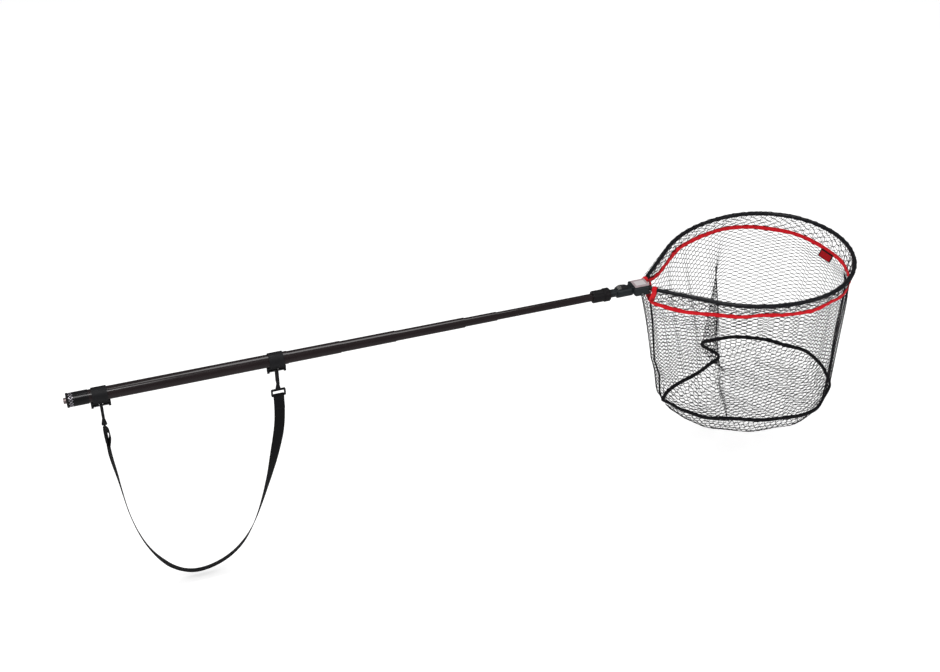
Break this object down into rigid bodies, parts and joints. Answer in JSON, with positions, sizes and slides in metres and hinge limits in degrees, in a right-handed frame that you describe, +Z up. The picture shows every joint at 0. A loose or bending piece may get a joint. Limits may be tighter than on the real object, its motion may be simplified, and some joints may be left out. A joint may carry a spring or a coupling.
{
  "type": "landing net",
  "caption": "Telescopic landing net with a folding oval hoop, a deep mesh bag and a clip-on shoulder strap.",
  "frame": {"origin": "on the pole's axis, at the hand grip midway between the two strap bands", "axes": "+X along the pole from the butt to the hoop, +Z up, and the bag and the strap hang towards -Z"},
  "size_m": [1.9329, 0.4314, 0.5993],
  "materials": {
    "carbon": "lacquered dark carbon tube",
    "sleeve": "glossy black sleeve",
    "marked_ring": "dark ring with bright diamond marks",
    "cap_rubber": "matte black",
    "stud_metal": "satin, slightly pink",
    "fitting": "satin black",
    "joint_paint": "glossy blue-black",
    "joint_plate": "brushed, slightly pink",
    "thumb_slider": "black with light ribs",
    "steel": "bright",
    "hoop_paint": "satin black",
    "netting": "black knotted mesh",
    "red_tape": "red woven tape",
    "black_tape": "black woven binding",
    "label": "red woven tab with a black edge",
    "band_plastic": "matte black",
    "hook_plastic": "satin black",
    "webbing": "black woven webbing"
  },
  "bodies": {
    "handle": {"butt_section": "carbon", "butt_sleeve": "sleeve", "butt_ring": "marked_ring", "butt_cap": "cap_rubber", "butt_stud": "stud_metal", "front_band": "band_plastic", "rear_band": "band_plastic", "front_strap_foot": "band_plastic", "rear_strap_foot": "band_plastic", "front_strap_bar": "steel", "rear_strap_bar": "steel"},
    "second": {"second_section": "carbon"},
    "third": {"third_section": "carbon"},
    "fourth": {"fourth_section": "carbon"},
    "fifth": {"fifth_section": "carbon"},
    "tip": {"tip_section": "carbon", "tip_collar": "fitting", "tip_ring": "fitting", "head_spigot": "joint_paint", "hinge_housing": "joint_paint", "hinge_pin": "steel", "latch_spring": "steel"},
    "latch": {"latch_slider": "thumb_slider", "latch_bolt": "steel"},
    "head": {"yoke_block": "joint_paint", "yoke_plate": "joint_plate", "clamp_bolt": "steel", "hoop_frame": "hoop_paint", "net_wall": "netting", "net_floor": "netting", "rim_tape": "red_tape", "arm_loops": "red_tape", "side_binding": "black_tape", "floor_binding": "black_tape", "label_tab": "label"},
    "strap": {"front_snap_hook": "hook_plastic", "rear_snap_hook": "hook_plastic", "front_swivel_loop": "hook_plastic", "rear_swivel_loop": "hook_plastic", "shoulder_strap": "webbing", "strap_glide": "hook_plastic"},
    "front_gate": {"front_hook_gate": "hook_plastic"},
    "rear_gate": {"rear_hook_gate": "hook_plastic"}
  },
  "joints": [
    {"name": "second_slide", "type": "slide", "parent": "handle", "child": "second", "axis": [1, 0, 0], "range_m": [-0.113, 0.258]},
    {"name": "third_slide", "type": "slide", "parent": "second", "child": "third", "axis": [1, 0, 0], "range_m": [-0.121, 0.256]},
    {"name": "fourth_slide", "type": "slide", "parent": "third", "child": "fourth", "axis": [1, 0, 0], "range_m": [-0.158, 0.225]},
    {"name": "fifth_slide", "type": "slide", "parent": "fourth", "child": "fifth", "axis": [1, 0, 0], "range_m": [-0.07, 0.319]},
    {"name": "tip_slide", "type": "slide", "parent": "fifth", "child": "tip", "axis": [1, 0, 0], "range_m": [-0.234, 0.161]},
    {"name": "latch_slide", "type": "slide", "parent": "tip", "child": "latch", "axis": [1, 0, 0], "range_m": [0, 0.006], "deforming": ["latch_spring"]},
    {"name": "hoop_fold", "type": "hinge", "parent": "tip", "child": "head", "pos_m": [1.071, 0, 0.0135], "axis": [0, -1, 0], "range_deg": [0, 160]},
    {"name": "strap_swing", "type": "hinge", "parent": "handle", "child": "strap", "pos_m": [0, 0, -0.0299], "axis": [1, 0, 0], "range_deg": [-75, 75]},
    {"name": "front_gate_hinge", "type": "hinge", "parent": "strap", "child": "front_gate", "pos_m": [0.196, 0.007, -0.0594], "axis": [1, 0, 0], "range_deg": [0, 21], "stiffness_Nm_per_rad": 0.03, "springref_deg": -17.19},
    {"name": "rear_gate_hinge", "type": "hinge", "parent": "strap", "child": "rear_gate", "pos_m": [-0.196, 0.007, -0.0594], "axis": [1, 0, 0], "range_deg": [0, 21], "stiffness_Nm_per_rad": 0.03, "springref_deg": -17.19}
  ]
}
